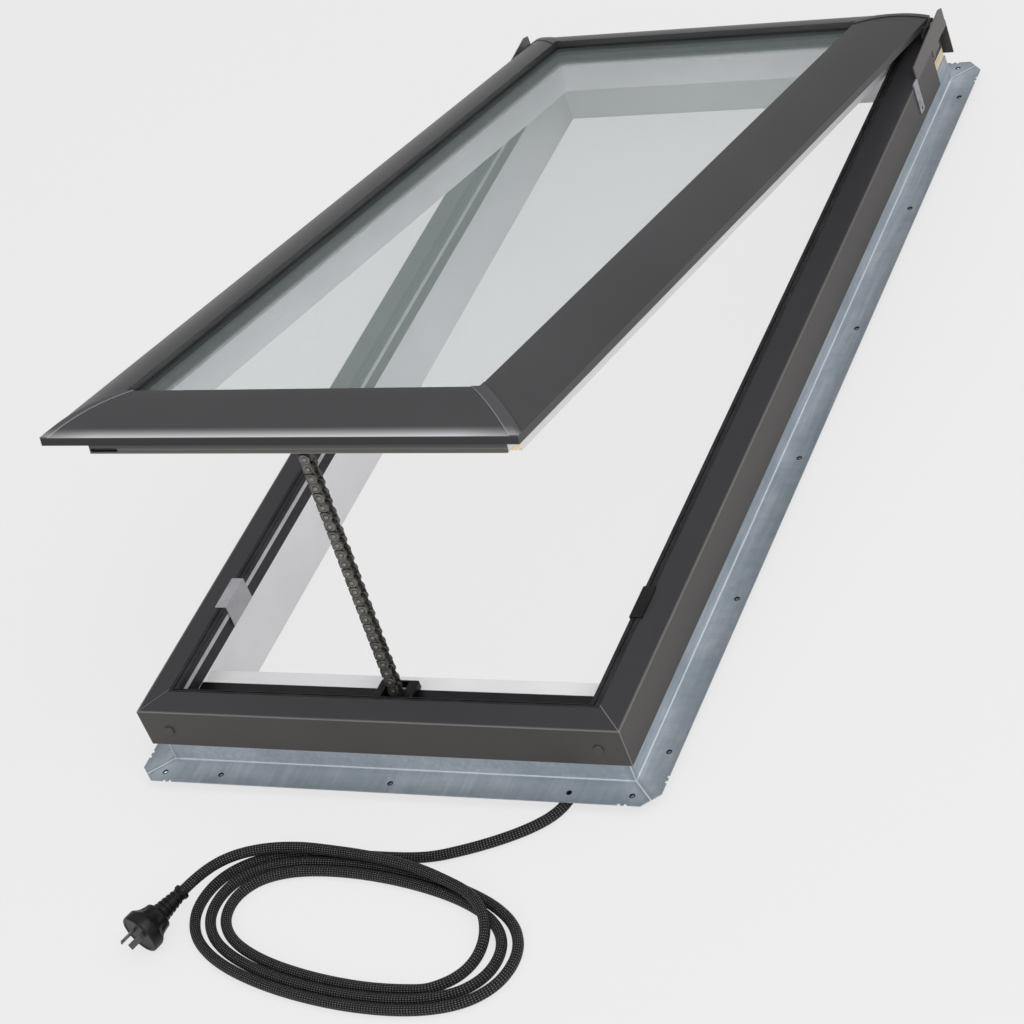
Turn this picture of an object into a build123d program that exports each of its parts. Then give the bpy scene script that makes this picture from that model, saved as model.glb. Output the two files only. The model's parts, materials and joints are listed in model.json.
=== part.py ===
# Roof skylight: a top-hung glazed sash on a flat kerb frame, pushed open by a chain.
# X runs across the window, Y up the slope towards the hinges and Z out of the roof.
# The origin is the middle of the frame on the plane it stands on. Millimetres.
import os
from math import cos, pi, radians, sin, sqrt, tan

from build123d import *

os.makedirs("parts", exist_ok=True)

# Frame, over its metal covers
frame_width = 550.0
frame_length = 1180.0
timber_inset = 11.0
timber_height = 91.0
jamb_thickness = 28.0
head_thickness = 22.0
timber_round = 2.5

# Sill timber, from its outer face inwards
upstand_thickness = 19.0
channel_width = 36.0
channel_floor = 28.0
ledge_width = 22.0
ledge_height = 68.0

# Strips let into the inner faces of the jambs
liner_depth = 3.0
liner_seal_height = 14.5
liner_strip_height = 6.5

# Metal covers of the frame
cover_sheet = 1.5
cover_skirt_bottom = 45.0
cover_rise = 6.0
cover_width_side = 29.0
cover_width_front = 25.5
cover_width_rear = 16.0
side_skirt_end = 67.0
hinge_shelf = 12.5

# Frame gasket
gasket_height = 7.0
gasket_overhang_side = 1.0
gasket_width_front = 4.5
gasket_width_rear = 7.0
gasket_round = 1.4
gasket_groove_width = 1.2
gasket_groove_depth = 2.5

# Spring clips over the gasket
clip_sheet = 1.0
clip_length = 44.0
clip_start = 171.0
clip_drop = 26.0
clip_seat = 13.0

# Galvanised mounting flange
flange_sheet = 1.2
flange_top = 14.0
flange_leg_top = 47.0
flange_reach = 22.4
flange_corner_cut = 17.0
flange_hole = 4.0
side_hole_inset = 11.4
side_hole_margin = 50.0
side_holes = 6
end_hole_inset = 12.4
end_hole_from_corner = (29.4, 97.4)
flange_notch_depth = 2.0
flange_notch_width = 3.5
flange_notch_from_corner = (33.0, 40.0)

# Screws with flat caps in the front cover
screw_inset = 30.0
screw_height = 66.0
screw_shank = 5.0
screw_length = 30.0
cap_diameter = 11.5
cap_height = 2.0

# Sash, set in from the outside of the frame and raised over its timber
sash_side_gap = 12.5
sash_front_gap = 1.7
sash_rear_gap = 18.3
sash_rise = 20.2
opening_angle = 15.7
sash_sheet = 1.5
fascia_height = 8.0
dome_width = 66.0
dome_rise = 20.0
mitre_strip_width = 13.0
mitre_strip_sheet = 0.8

# Sash timbers, heights counted down from the foot of the dome
sash_timber_top = 9.0
stile_inset = 31.5
stile_width = 41.0
stile_depth = 32.0
front_rail_inset = 32.0
front_rail_width = 40.0
front_rail_depth = 20.0
rear_rail_inset = 25.0
rear_rail_width = 50.0
stile_notch_length = 25.0
stile_notch_depth = 22.0
front_strip_sheet = 2.0
strip_slot_length = 32.0
strip_slot_height = 4.0
strip_slot_from_end = 17.0
strip_slot_drop = 27.0

# Glazing
pane_thickness = 4.0
pane_gap = 12.0
glass_cover = 10.5
spacer_width = 13.0
spacer_inset = 1.0
glazing_seal_height = 2.0
glazing_seal_overhang = 2.0
glazing_seal_width = 10.0

# Hinges
hinge_from_rear = 29.3
hinge_above_timber = 11.0
pin_diameter = 6.0
pin_clearance = 0.05
pin_head_diameter = 10.0
pin_head_height = 2.5
leaf_sheet = 3.0
leaf_length = 42.0
leaf_below_timber = 27.0
leaf_above_pin = 8.0
leaf_behind_pin = 11.3
sash_eye_radius = 5.5
sash_leaf_length = 40.0
sash_leaf_drop = 2.0
sash_leaf_depth = 26.0
sash_leaf_neck = 8.0
sash_leaf_neck_depth = 12.0
return_notch_length = 22.0
return_notch_ahead = 4.0

# Cover plate of each hinge, ahead of and behind the pin, and over and under the timber
hinge_cover_sheet = 1.5
hinge_cover_lift = 0.4
plate_front = 97.7
plate_step_front = 34.7
plate_step_rear = 10.7
plate_rear = 23.3
plate_step_depth = 10.0
plate_front_top = 20.0
plate_rear_top = 24.0
plate_corner = 10.0
tab_ahead = 22.7
tab_width = 20.0
tab_height = 14.0

# Strap on the right cover
strap_width = 14.0
strap_length = 42.0
strap_round = 3.0
strap_sheet = 1.5
strap_hole = 4.0
strap_hole_from_end = 5.0
strap_ahead = 107.7
strap_below_timber = 13.0

# Chain and its operator
operator_length = 320.0
operator_gap = 1.0
operator_round = 3.0
mouth_width = 44.0
mouth_length = 32.0
mouth_height = 8.5
mouth_round = 3.0
mouth_chamfer = 2.0
mouth_slot_width = 24.0
mouth_slot_length = 24.0
mouth_behind_bracket = 4.3
chain_slot_length = 16.0
chain_slot_depth = 10.0
chain_foot_depth = 4.0
chain_pitch = 11.5
chain_lean_y = 60.0
link_stop = 6.5
link_sheet = 1.5
link_gap = 0.25
chain_pin = 3.6
chain_pin_clearance = 0.1
chain_pin_end = 0.6
bush_wall = 1.2
chain_inner_width = 6.4
bracket_up_slope = 52.0
bracket_drop = 35.0
bracket_sheet = 2.0
bracket_pin = 4.0
bracket_ear_gap = 16.0
bracket_ear_foot = 16.0
bracket_plate_width = 40.0
bracket_plate_length = 24.0
bracket_plate_round = 3.0
end_block_reach = 10.0
end_block_side_gap = 1.0

# Cord and its coil
cord_diameter = 11.0
gland_x = 199.0
gland_height = 6.4
gland_diameter = 12.2
gland_length = 7.0
coil_height = 11.0
coil_chamfer = 3.0
coil_turn = -9.0
coil_outer_centre = (36.6, -784.7)
coil_outer_radii = (195.2, 93.1)
coil_inner_centre = (34.7, -777.1)
coil_inner_radii = (145.4, 63.6)

# Plug, along its axis from the end of the cord
plug_start = (-162.0, -764.0)
plug_heading = (-0.34, -0.94)
plug_radius = 22.0
relief_length = 34.0
relief_collar = 4.0
relief_collar_radius = 8.2
relief_thin_radius = 7.0
relief_thick_radius = 10.5
relief_flange_radius = 15.0
relief_grooves = 5
relief_groove_width = 2.4
relief_groove_depth = 1.4
plug_neck_radius = 14.0
plug_shoulder_radius = 17.0
plug_shoulder = 8.0
plug_rim_rise = 6.0
plug_rim = 12.0
blade_length = 17.0
blade_width = 6.3
blade_sheet = 1.6
blade_spread = 7.0
blade_rise = 3.0
blade_turn = 30.0

frame_back = frame_length / 2
sash_width = frame_width - 2 * sash_side_gap
sash_length = frame_length - sash_front_gap - sash_rear_gap
sash_height = timber_height + sash_rise
cover_inner_height = timber_height + cover_rise
hinge_y = frame_back - hinge_from_rear
hinge_z = timber_height + hinge_above_timber


# Working planes. The base of the frame and the base of the sash are both read as
# x across, y up the slope from the front edge and z out of the window.
frame_base = Plane(origin=(0, -frame_back, 0))
slope = radians(opening_angle)
hinge_up_slope = hinge_y + frame_back - sash_front_gap
hinge_drop = sash_height - hinge_z
hinge_plane = Plane(
    origin=(0, hinge_y, hinge_z), x_dir=(1, 0, 0), z_dir=(0, sin(slope), cos(slope))
)
sash_base = Plane(
    origin=hinge_plane.from_local_coords(Vector(0, -hinge_up_slope, hinge_drop)),
    x_dir=(1, 0, 0),
    z_dir=hinge_plane.z_dir,
)

SIDES = ("front", "right", "rear", "left")


def edge_of(base, width, length, side):
    """Plane on one edge of a rectangle: x points inwards, y up, z along the edge."""
    corner, inward, run = {
        "front": ((-width / 2, 0), (0, 1), width),
        "right": ((width / 2, 0), (-1, 0), length),
        "rear": ((width / 2, length), (0, -1), width),
        "left": ((-width / 2, length), (1, 0), length),
    }[side]
    origin = base.from_local_coords(Vector(*corner, 0))
    x_dir = base.from_local_coords(Vector(*inward, 0)) - base.origin
    return Plane(origin=origin, x_dir=x_dir, z_dir=x_dir.cross(base.z_dir)), run


def mitre_planes(edge, run, own, before, after):
    """Upright cutting planes at the two ends of an edge, facing the part to keep."""
    across, up, along = edge.x_dir, edge.y_dir, edge.z_dir
    start = Plane(origin=edge.origin, x_dir=up, z_dir=along * own - across * before)
    end = Plane(
        origin=edge.origin + along * run, x_dir=up, z_dir=along * -own - across * after
    )
    return start, end


frame_edges = {s: edge_of(frame_base, frame_width, frame_length, s) for s in SIDES}
sash_edges = {s: edge_of(sash_base, sash_width, sash_length, s) for s in SIDES}

jamb_inner = timber_inset + jamb_thickness
sill_inner = timber_inset + upstand_thickness + channel_width + ledge_width
channel_start = timber_inset + upstand_thickness
channel_end = channel_start + channel_width
liner_bottom = timber_height - liner_strip_height - liner_seal_height
screw_positions = [(x, screw_height) for x in (screw_inset, frame_width - screw_inset)]

pieces = {}

# Jambs: full length timbers with a rebate for the liner strips
for side in ("left", "right"):
    edge, run = frame_edges[side]
    with BuildPart() as jamb:
        with BuildSketch(edge.offset(timber_inset)):
            with BuildLine():
                Polyline(
                    (timber_inset, 0),
                    (jamb_inner, 0),
                    (jamb_inner, liner_bottom),
                    (jamb_inner - liner_depth, liner_bottom),
                    (jamb_inner - liner_depth, timber_height),
                    (timber_inset, timber_height),
                    close=True,
                )
            make_face()
        extrude(amount=run - 2 * timber_inset)
        corner = jamb.edges().filter_by(Axis.Y).group_by(Axis.Z)[0]
        fillet(corner.sort_by(lambda e: abs(e.center().X))[0], timber_round)
        with Locations(Plane.XZ.offset(frame_back - timber_inset)):
            with Locations(*[(x - frame_width / 2, z) for x, z in screw_positions]):
                Hole(screw_shank / 2, depth=screw_length - timber_inset)
    pieces[f"jamb_{side}"] = jamb

# Sill: an upstand outside, a channel for the operator and a ledge inside
edge, run = frame_edges["front"]
with BuildPart() as sill:
    with BuildSketch(edge.offset(jamb_inner)):
        with BuildLine():
            Polyline(
                (timber_inset, 0),
                (sill_inner, 0),
                (sill_inner, ledge_height),
                (channel_end, ledge_height),
                (channel_end, channel_floor),
                (channel_start, channel_floor),
                (channel_start, timber_height),
                (timber_inset, timber_height),
                close=True,
            )
        make_face()
    extrude(amount=run - 2 * jamb_inner)
    inner_edges = sill.edges().filter_by(Axis.X).group_by(Axis.Y)[-1]
    fillet(inner_edges, timber_round)
pieces["sill_timber"] = sill

# Head: a plain timber between the jambs
edge, run = frame_edges["rear"]
with BuildPart() as head:
    with BuildSketch(edge.offset(jamb_inner)):
        with Locations((timber_inset, 0)):
            Rectangle(head_thickness, timber_height, align=Align.MIN)
    extrude(amount=run - 2 * jamb_inner)
    fillet(head.edges().filter_by(Axis.X).group_by(Axis.Y)[0], timber_round)
pieces["head_timber"] = head

# Seal and light strip in the rebate of each jamb
for side in ("left", "right"):
    edge, run = frame_edges[side]
    for name, low, high in (
        ("liner_seal", liner_bottom, liner_bottom + liner_seal_height),
        ("liner_strip", liner_bottom + liner_seal_height, timber_height),
    ):
        with BuildPart() as strip:
            with BuildSketch(edge.offset(timber_inset)):
                with Locations((jamb_inner - liner_depth, low)):
                    Rectangle(liner_depth, high - low, align=Align.MIN)
            extrude(amount=run - 2 * timber_inset)
        pieces[f"{name}_{side}"] = strip

# Galvanised flange: four folded angles mitred at the corners
for side in SIDES:
    edge, run = frame_edges[side]
    with BuildPart() as flange:
        with BuildSketch(edge.offset(-flange_reach)):
            with BuildLine():
                Polyline(
                    (-flange_reach, flange_top - flange_sheet),
                    (timber_inset, flange_top - flange_sheet),
                    (timber_inset, flange_leg_top),
                )
                offset(amount=flange_sheet, side=Side.LEFT, kind=Kind.INTERSECTION)
            make_face()
        extrude(amount=run + 2 * flange_reach)
        for cut in mitre_planes(edge, run, 1, 1, 1):
            split(bisect_by=cut, keep=Keep.TOP)
        half_x = frame_width / 2 + flange_reach
        half_y = frame_back + flange_reach
        with BuildSketch(Plane.XY):
            with Locations((half_x, half_y), (-half_x, half_y)):
                Rectangle(flange_corner_cut * sqrt(2), flange_corner_cut * sqrt(2), 45)
            with Locations((half_x, -half_y), (-half_x, -half_y)):
                Rectangle(flange_corner_cut * sqrt(2), flange_corner_cut * sqrt(2), 45)
        extrude(amount=flange_top, mode=Mode.SUBTRACT)
        with Locations(Plane.XY.offset(flange_top)):
            if side in ("left", "right"):
                sign = 1 if side == "right" else -1
                pitch = (frame_length - 2 * side_hole_margin) / (side_holes - 1)
                with Locations((sign * (half_x - side_hole_inset), 0)):
                    with GridLocations(1, pitch, 1, side_holes):
                        Hole(flange_hole / 2, depth=flange_sheet)
            else:
                sign = 1 if side == "rear" else -1
                y = sign * (half_y - end_hole_inset)
                spots = [(s * (half_x - d), y) for d in end_hole_from_corner for s in (-1, 1)]
                with Locations((0, y), *spots):
                    Hole(flange_hole / 2, depth=flange_sheet)
        with BuildSketch(Plane.XY):
            for distance in flange_notch_from_corner:
                with GridLocations(2 * half_x, 2 * (half_y - distance), 2, 2):
                    Rectangle(2 * flange_notch_depth, flange_notch_width)
                with GridLocations(2 * (half_x - distance), 2 * half_y, 2, 2):
                    Rectangle(flange_notch_width, 2 * flange_notch_depth)
        extrude(amount=flange_top, mode=Mode.SUBTRACT)
    pieces[f"flange_{side}"] = flange


def frame_cover_section(width):
    """Folded sheet: skirt, sloping top and a return standing on the timber."""
    with BuildLine() as outline:
        Polyline(
            (0, cover_skirt_bottom),
            (0, timber_height),
            (width, cover_inner_height),
            (width, timber_height),
        )
        offset(amount=cover_sheet, side=Side.RIGHT, kind=Kind.INTERSECTION)
    make_face(outline.line)


# Frame covers: the front one is mitred to the two side ones, which butt on the rear one
edge, run = frame_edges["front"]
with BuildPart() as front_cover:
    with BuildSketch(edge):
        frame_cover_section(cover_width_front)
    extrude(amount=run)
    for cut in mitre_planes(edge, run, cover_width_front, *[cover_width_side] * 2):
        split(bisect_by=cut, keep=Keep.TOP)
    with Locations(Plane.XZ.offset(frame_back)):
        with Locations(*[(x - frame_width / 2, z) for x, z in screw_positions]):
            Hole(screw_shank / 2, depth=cover_sheet)
pieces["frame_cover_front"] = front_cover

for side in ("left", "right"):
    edge, run = frame_edges[side]
    start, end = mitre_planes(
        edge, run, cover_width_side, cover_width_front, cover_width_front
    )
    with BuildPart() as side_cover:
        with BuildSketch(edge):
            frame_cover_section(cover_width_side)
        extrude(amount=run)
        split(bisect_by=start if side == "right" else end, keep=Keep.TOP)
        split(bisect_by=Plane.XZ.offset(cover_width_rear - frame_back), keep=Keep.TOP)
        with BuildSketch(frame_base):
            outer = frame_width / 2 * (1 if side == "right" else -1)
            with Locations((outer, frame_length - side_skirt_end)):
                Rectangle(2 * hinge_shelf, side_skirt_end, align=(Align.CENTER, Align.MIN))
        extrude(amount=cover_inner_height, mode=Mode.SUBTRACT)
    pieces[f"frame_cover_{side}"] = side_cover

edge, run = frame_edges["rear"]
rear_cover_gap = hinge_cover_sheet + 0.5
with BuildPart() as rear_cover:
    with BuildSketch(edge.offset(rear_cover_gap)):
        frame_cover_section(cover_width_rear)
    extrude(amount=run - 2 * rear_cover_gap)
pieces["frame_cover_rear"] = rear_cover

# Gasket: one moulded loop on the timber, inside the covers, with a groove between two lips
gasket_outer_x = frame_width / 2 - cover_width_side
gasket_inner_x = frame_width / 2 - jamb_inner - gasket_overhang_side
gasket_y = (
    cover_width_front,
    cover_width_front + gasket_width_front,
    frame_length - cover_width_rear - gasket_width_rear,
    frame_length - cover_width_rear,
)
with BuildPart() as gasket:
    with BuildSketch(frame_base.offset(timber_height)):
        with Locations((0, (gasket_y[0] + gasket_y[3]) / 2)):
            Rectangle(2 * gasket_outer_x, gasket_y[3] - gasket_y[0])
        with Locations((0, (gasket_y[1] + gasket_y[2]) / 2)):
            Rectangle(2 * gasket_inner_x, gasket_y[2] - gasket_y[1], mode=Mode.SUBTRACT)
    extrude(amount=gasket_height)
    fillet(gasket.faces().sort_by(Axis.Z)[-1].edges(), gasket_round)
    groove_x = (gasket_outer_x + gasket_inner_x) / 2
    groove_front = (gasket_y[0] + gasket_y[1]) / 2
    groove_rear = (gasket_y[2] + gasket_y[3]) / 2
    with BuildSketch(frame_base.offset(timber_height + gasket_height)):
        with Locations((0, (groove_front + groove_rear) / 2)):
            for grow, mode in ((0.5, Mode.ADD), (-0.5, Mode.SUBTRACT)):
                Rectangle(
                    2 * (groove_x + grow * gasket_groove_width),
                    groove_rear - groove_front + 2 * grow * gasket_groove_width,
                    mode=mode,
                )
    extrude(amount=-gasket_groove_depth, mode=Mode.SUBTRACT)
pieces["frame_gasket"] = gasket

# Two spring clips hooked over the gasket
for side in ("left", "right"):
    sign = 1 if side == "right" else -1
    middle = frame_base.from_local_coords(Vector(0, clip_start + clip_length / 2, 0))
    clip_plane = Plane(origin=middle, x_dir=(sign, 0, 0), z_dir=(0, -sign, 0))
    top = timber_height + gasket_height
    with BuildPart() as clip:
        with BuildSketch(clip_plane):
            with BuildLine():
                Polyline(
                    (gasket_inner_x, top - clip_drop),
                    (gasket_inner_x, top),
                    (gasket_inner_x + clip_seat, top),
                )
                offset(amount=clip_sheet, side=Side.LEFT, kind=Kind.INTERSECTION)
            make_face()
        extrude(amount=sign * clip_length)
    pieces[f"sash_clip_{side}"] = clip

# Screws of the front cover, each with a flat cap
with BuildPart() as cover_screws:
    with BuildSketch(Plane.XZ.offset(frame_back)):
        with Locations(*[(x - frame_width / 2, z) for x, z in screw_positions]):
            Circle(cap_diameter / 2)
    extrude(amount=cap_height)
    fillet(cover_screws.edges().group_by(Axis.Y)[0], cap_height / 2)
    with BuildSketch(Plane.XZ.offset(frame_back)):
        with Locations(*[(x - frame_width / 2, z) for x, z in screw_positions]):
            Circle(screw_shank / 2)
    extrude(amount=-screw_length)
pieces["cover_screws"] = cover_screws

# Operator: a closed housing in the sill channel, its cover and the chain mouth
slot_y = sash_front_gap + bracket_up_slope + mouth_behind_bracket
with BuildPart() as operator:
    with BuildSketch(frame_base.offset(channel_floor)):
        with Locations((0, (channel_start + channel_end) / 2)):
            Rectangle(operator_length, channel_width - 2 * operator_gap)
    extrude(amount=ledge_height - channel_floor)
    fillet(operator.edges().filter_by(Axis.Z), operator_round)
    with BuildSketch(frame_base.offset(ledge_height)):
        with Locations((0, slot_y)):
            Rectangle(mouth_slot_width, chain_slot_length)
    extrude(amount=-chain_slot_depth, mode=Mode.SUBTRACT)
pieces["operator_housing"] = operator

with BuildPart() as channel_cover:
    with BuildSketch(frame_base.offset(ledge_height)):
        with Locations((0, channel_start)):
            Rectangle(
                frame_width - 2 * jamb_inner,
                channel_width + cover_sheet,
                align=(Align.CENTER, Align.MIN),
            )
        with Locations((0, slot_y)):
            Rectangle(mouth_slot_width, chain_slot_length, mode=Mode.SUBTRACT)
    extrude(amount=cover_sheet)
pieces["channel_cover"] = channel_cover

with BuildPart() as mouth:
    with BuildSketch(frame_base.offset(ledge_height + cover_sheet)):
        with Locations((0, slot_y)):
            RectangleRounded(mouth_width, mouth_length, mouth_round)
    extrude(amount=mouth_height)
    chamfer(mouth.faces().sort_by(Axis.Z)[-1].edges(), mouth_chamfer)
    with BuildSketch(frame_base.offset(ledge_height + cover_sheet)):
        with Locations((0, slot_y)):
            Rectangle(mouth_slot_width, mouth_slot_length)
    extrude(amount=mouth_height, mode=Mode.SUBTRACT)
pieces["chain_mouth"] = mouth

# Hinges: a leaf on each jamb holds the pin, a leaf on each stile turns on it
leaf_inner = frame_width / 2 - timber_inset
sash_leaf_inner = sash_width / 2 - stile_inset
pin_inner = sash_leaf_inner - 2
pin_outer = leaf_inner + leaf_sheet
leaf_end = hinge_y + leaf_behind_pin
leaf_bottom = timber_height - leaf_below_timber
with BuildPart() as hinge_pins:
    for sign in (-1, 1):
        with BuildSketch(Plane.YZ.offset(sign * pin_inner)):
            with Locations((hinge_y, hinge_z)):
                Circle(pin_diameter / 2)
        extrude(amount=sign * (pin_outer - pin_inner))
        with BuildSketch(Plane.YZ.offset(sign * pin_outer)):
            with Locations((hinge_y, hinge_z)):
                Circle(pin_head_diameter / 2)
        extrude(amount=sign * pin_head_height)
pieces["hinge_pins"] = hinge_pins

for side in ("left", "right"):
    sign = 1 if side == "right" else -1
    with BuildPart() as leaf:
        with BuildSketch(Plane.YZ.offset(sign * leaf_inner)):
            with Locations((leaf_end - leaf_length / 2, leaf_bottom)):
                Rectangle(
                    leaf_length,
                    hinge_z + leaf_above_pin - leaf_bottom,
                    align=(Align.CENTER, Align.MIN),
                )
        extrude(amount=sign * leaf_sheet)
        fillet(leaf.edges().filter_by(Axis.X).group_by(Axis.Z)[-1], leaf_above_pin - 1)
        with Locations(Plane.YZ.offset(sign * leaf_inner)):
            with Locations((hinge_y, hinge_z)):
                Hole(pin_diameter / 2)
    pieces[f"hinge_leaf_{side}"] = leaf

    with BuildPart() as sash_leaf:
        with BuildSketch(
            Plane(
                origin=hinge_plane.from_local_coords(Vector(sign * sash_leaf_inner, 0, 0)),
                x_dir=hinge_plane.y_dir,
                z_dir=hinge_plane.x_dir,
            )
        ) as leaf_face:
            Circle(sash_eye_radius)
            back = sash_length - rear_rail_inset - hinge_up_slope
            with Locations((back, hinge_drop - sash_timber_top - sash_leaf_drop)):
                Rectangle(sash_leaf_neck, sash_leaf_neck_depth, align=Align.MAX)
                make_hull()
                Rectangle(sash_leaf_length, sash_leaf_depth, align=Align.MAX)
        extrude(amount=sign * leaf_sheet)
        with Locations(Plane.YZ.offset(sign * sash_leaf_inner)):
            with Locations((hinge_y, hinge_z)):
                Hole(pin_diameter / 2 + pin_clearance)
    pieces[f"sash_leaf_{side}"] = sash_leaf

# Cover plate outside each hinge, fixed to the leaf by a folded tab
plate_outer = frame_width / 2
step_bottom = timber_height - plate_step_depth
plate_outline = (
    (hinge_y - plate_front, timber_height + hinge_cover_lift),
    (hinge_y - plate_step_front, timber_height + hinge_cover_lift),
    (hinge_y - plate_step_front, step_bottom),
    (hinge_y - plate_step_rear, step_bottom),
    (hinge_y - plate_step_rear, timber_height - 0.3 * plate_step_depth),
    (hinge_y + plate_rear, timber_height - 0.4 * plate_step_depth),
    (hinge_y + plate_rear, timber_height + plate_front_top),
    (hinge_y + plate_rear - plate_corner, timber_height + plate_rear_top),
    (hinge_y - plate_front, timber_height + plate_front_top),
)
for side in ("left", "right"):
    sign = 1 if side == "right" else -1
    with BuildPart() as plate:
        with BuildSketch(Plane.YZ.offset(sign * plate_outer)):
            with BuildLine():
                Polyline(*plate_outline, close=True)
            make_face()
        extrude(amount=-sign * hinge_cover_sheet)
        tab_reach = plate_outer - pin_outer
        tab_end = Plane.YZ.offset(sign * pin_outer)
        with BuildSketch(tab_end):
            with Locations((hinge_y - tab_ahead, step_bottom)):
                Rectangle(tab_width, hinge_cover_sheet, align=(Align.CENTER, Align.MIN))
        extrude(amount=sign * tab_reach)
        with BuildSketch(tab_end):
            with Locations((hinge_y - tab_ahead, step_bottom + hinge_cover_sheet)):
                Rectangle(tab_width, tab_height, align=(Align.CENTER, Align.MAX))
        extrude(amount=sign * hinge_cover_sheet)
    pieces[f"hinge_cover_{side}"] = plate

# Bright strap on the outside of the right cover
with BuildPart() as strap:
    with BuildSketch(Plane.YZ.offset(frame_width / 2)):
        with Locations((hinge_y - strap_ahead, timber_height - strap_below_timber)):
            RectangleRounded(strap_width, strap_length, strap_round)
            with Locations((0, strap_hole_from_end - strap_length / 2)):
                Circle(strap_hole / 2, mode=Mode.SUBTRACT)
    extrude(amount=strap_sheet)
pieces["side_strap"] = strap

# Sash covers: a domed sheet with a fascia, a bottom return and a lip onto the glass
lip_foot = sash_timber_top - 2 * pane_thickness - pane_gap - glazing_seal_height
return_reach = {
    "front": front_rail_inset - front_strip_sheet,
    "right": stile_inset,
    "rear": rear_rail_inset,
    "left": stile_inset,
}


def dome_arc():
    """The top of a cover, level at the lip and steepest at the fascia."""
    return TangentArc((dome_width, dome_rise), (0, 0), tangent=(-1, 0))


def sash_cover_section(reach):
    """Folded sheet, drawn from its lip outwards and back under the dome."""
    with BuildLine() as outline:
        Line((dome_width, -lip_foot), (dome_width, dome_rise))
        dome_arc()
        Polyline((0, 0), (0, -fascia_height), (reach, -fascia_height))
        offset(amount=sash_sheet, side=Side.LEFT, kind=Kind.INTERSECTION)
    make_face(outline.line)


for side in SIDES:
    edge, run = sash_edges[side]
    with BuildPart() as cover:
        with BuildSketch(edge):
            sash_cover_section(return_reach[side])
        extrude(amount=run)
        for cut in mitre_planes(edge, run, 1, 1, 1):
            split(bisect_by=cut, keep=Keep.TOP)
        if side != "front":
            with BuildSketch(sash_base.offset(-fascia_height - 1)):
                with Locations((0, hinge_up_slope - return_notch_ahead)):
                    with GridLocations(sash_width, 1, 2, 1):
                        Rectangle(2 * stile_inset + 4, return_notch_length)
            extrude(amount=fascia_height - sash_sheet, mode=Mode.SUBTRACT)
    pieces[f"sash_cover_{side}"] = cover

def mitre_half(side, at_end):
    """The half of a mitre's strip that lies on one cover, over the sheet of its dome."""
    edge, run = sash_edges[side]
    start, end = mitre_planes(edge, run, 1, 1, 1)
    cut = end if at_end else start
    with BuildPart() as half:
        with BuildSketch(edge):
            with BuildLine():
                dome_arc()
                offset(amount=mitre_strip_sheet, side=Side.RIGHT)
            make_face()
        extrude(amount=run)
        split(bisect_by=cut, keep=Keep.TOP)
        split(bisect_by=cut.offset(mitre_strip_width / 2), keep=Keep.BOTTOM)
    return half.part


# Strips over the four mitres of the sash covers
for first, second in zip(SIDES, SIDES[1:] + SIDES[:1]):
    halves = [mitre_half(first, True), mitre_half(second, False)]
    with BuildPart() as corner:
        add(halves)
    pieces[f"sash_corner_{first}_{second}"] = corner

# Sash timbers
for side in ("left", "right"):
    edge, run = sash_edges[side]
    sign = 1 if side == "right" else -1
    with BuildPart() as stile:
        with BuildSketch(sash_base.offset(-sash_timber_top)):
            with Locations((sign * (sash_width / 2 - stile_inset), front_rail_inset)):
                Rectangle(
                    stile_width,
                    sash_length - front_rail_inset - rear_rail_inset,
                    align=(Align.MAX if sign > 0 else Align.MIN, Align.MIN),
                )
        extrude(amount=-stile_depth)
        with BuildSketch(sash_base.offset(-sash_timber_top - stile_notch_depth)):
            with Locations((sign * (sash_width / 2 - stile_inset), front_rail_inset)):
                Rectangle(2 * stile_width, 2 * stile_notch_length)
        extrude(amount=-stile_depth, mode=Mode.SUBTRACT)
    pieces[f"sash_stile_{side}"] = stile

rail_half = sash_width / 2 - stile_inset - stile_width
with BuildPart() as front_rail:
    with BuildSketch(sash_base.offset(-sash_timber_top)):
        with Locations((0, front_rail_inset)):
            Rectangle(2 * rail_half, front_rail_width, align=(Align.CENTER, Align.MIN))
    extrude(amount=-front_rail_depth)
pieces["sash_rail_front"] = front_rail

with BuildPart() as rear_rail:
    with BuildSketch(sash_base.offset(-sash_timber_top)):
        with Locations((0, sash_length - rear_rail_inset)):
            Rectangle(2 * rail_half, rear_rail_width, align=(Align.CENTER, Align.MAX))
    extrude(amount=-stile_depth)
pieces["sash_rail_rear"] = rear_rail

# Metal strip on the front of the sash timbers, with a slot near its left end
strip_bottom = sash_timber_top + stile_notch_depth
strip_top = fascia_height - sash_sheet
with BuildPart() as front_strip:
    with BuildSketch(sash_edges["front"][0]) as strip_face:
        with Locations((front_rail_inset - front_strip_sheet, -strip_bottom)):
            Rectangle(front_strip_sheet, strip_bottom - strip_top, align=Align.MIN)
    extrude(amount=sash_width)
    for sign in (-1, 1):
        cut = Plane(
            origin=sash_base.from_local_coords(Vector(sign * sash_leaf_inner, 0, 0)),
            x_dir=sash_base.y_dir,
            z_dir=sash_base.x_dir * -sign,
        )
        split(bisect_by=cut, keep=Keep.TOP)
    slot_plane = Plane(
        origin=sash_base.from_local_coords(Vector(0, front_rail_inset, 0)),
        x_dir=sash_base.x_dir,
        z_dir=-sash_base.y_dir,
    )
    with BuildSketch(slot_plane):
        with Locations((strip_slot_from_end - sash_leaf_inner, -strip_slot_drop)):
            SlotOverall(strip_slot_length, strip_slot_height)
    extrude(amount=front_strip_sheet, mode=Mode.SUBTRACT)
pieces["sash_front_strip"] = front_strip


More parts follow.
